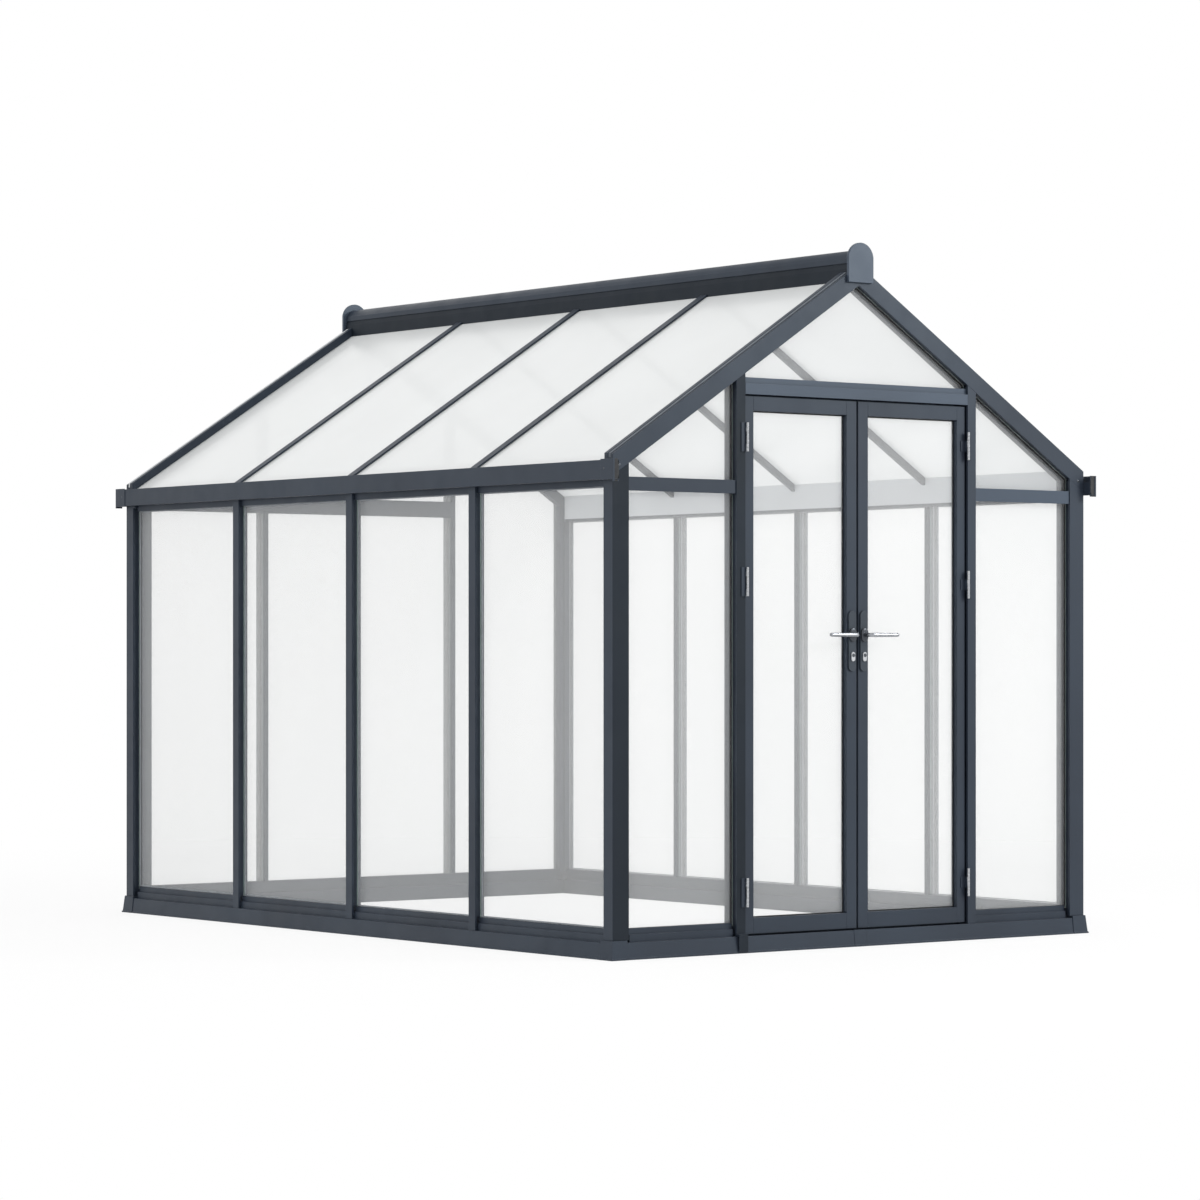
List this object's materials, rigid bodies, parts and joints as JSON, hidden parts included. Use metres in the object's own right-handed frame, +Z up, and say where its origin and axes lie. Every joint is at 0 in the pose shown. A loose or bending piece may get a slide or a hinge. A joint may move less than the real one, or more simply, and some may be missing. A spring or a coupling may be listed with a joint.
{
  "type": "glass greenhouse",
  "caption": "Gabled greenhouse with a slim dark metal frame, clear glazing, hinged double doors in one gable, ridge cap, eave gutters and a low base rail.",
  "frame": {"origin": "on the ground in the middle of the plan, at the bottom of the base rails", "axes": "+Z up, the doors face -Y, +X is to the right of someone facing the doors from outside, the ridge runs along Y"},
  "size_m": [2.256, 3.256, 2.4846],
  "materials": {
    "frame_paint": "satin anthracite powder coat",
    "glazing": "clear",
    "bright_metal": "brushed",
    "lock_metal": "satin"
  },
  "bodies": {
    "house": {"base_rail_front": "frame_paint", "base_rail_back": "frame_paint", "base_rails_side": "frame_paint", "base_corners": "frame_paint", "base_joiner": "frame_paint", "corner_posts_front": "frame_paint", "corner_posts_back": "frame_paint", "wall_bars_left": "frame_paint", "wall_bars_right": "frame_paint", "eave_beam_left": "frame_paint", "eave_beam_right": "frame_paint", "gutter_left": "frame_paint", "gutter_right": "frame_paint", "gutter_end_caps": "frame_paint", "ridge_beam": "frame_paint", "ridge_end_caps": "frame_paint", "rafters_front": "frame_paint", "rafters_back": "frame_paint", "roof_bars_left": "frame_paint", "roof_bars_right": "frame_paint", "door_posts": "frame_paint", "door_header": "frame_paint", "front_transoms": "frame_paint", "back_bars": "frame_paint", "back_transoms": "frame_paint", "glass_wall_left": "glazing", "glass_wall_right": "glazing", "glass_roof_left": "glazing", "glass_roof_right": "glazing", "glass_front": "glazing", "glass_back": "glazing", "hinges_fixed": "bright_metal"},
    "door_left": {"door_left_stiles": "frame_paint", "door_left_rails": "frame_paint", "door_left_glass": "glazing", "door_left_hinges": "bright_metal", "door_left_lock": "lock_metal"},
    "door_right": {"door_right_stiles": "frame_paint", "door_right_rails": "frame_paint", "door_right_glass": "glazing", "door_right_hinges": "bright_metal", "door_right_lock": "lock_metal"},
    "handle_left": {"lever_left": "bright_metal"},
    "handle_right": {"lever_right": "bright_metal"}
  },
  "joints": [
    {"name": "door_left_swing", "type": "hinge", "parent": "house", "child": "door_left", "pos_m": [-0.517, -1.597, 1], "axis": [0, 0, -1], "range_deg": [0, 110]},
    {"name": "door_right_swing", "type": "hinge", "parent": "house", "child": "door_right", "pos_m": [0.517, -1.597, 1], "axis": [0, 0, 1], "range_deg": [0, 110]},
    {"name": "handle_left_turn", "type": "hinge", "parent": "door_left", "child": "handle_left", "pos_m": [-0.027, -1.6, 1.1], "axis": [0, -1, 0], "range_deg": [0, 40], "stiffness_Nm_per_rad": 1, "springref_deg": -40.11},
    {"name": "handle_right_turn", "type": "hinge", "parent": "door_right", "child": "handle_right", "pos_m": [0.027, -1.6, 1.1], "axis": [0, 1, 0], "range_deg": [0, 40], "stiffness_Nm_per_rad": 1, "springref_deg": -40.11}
  ]
}
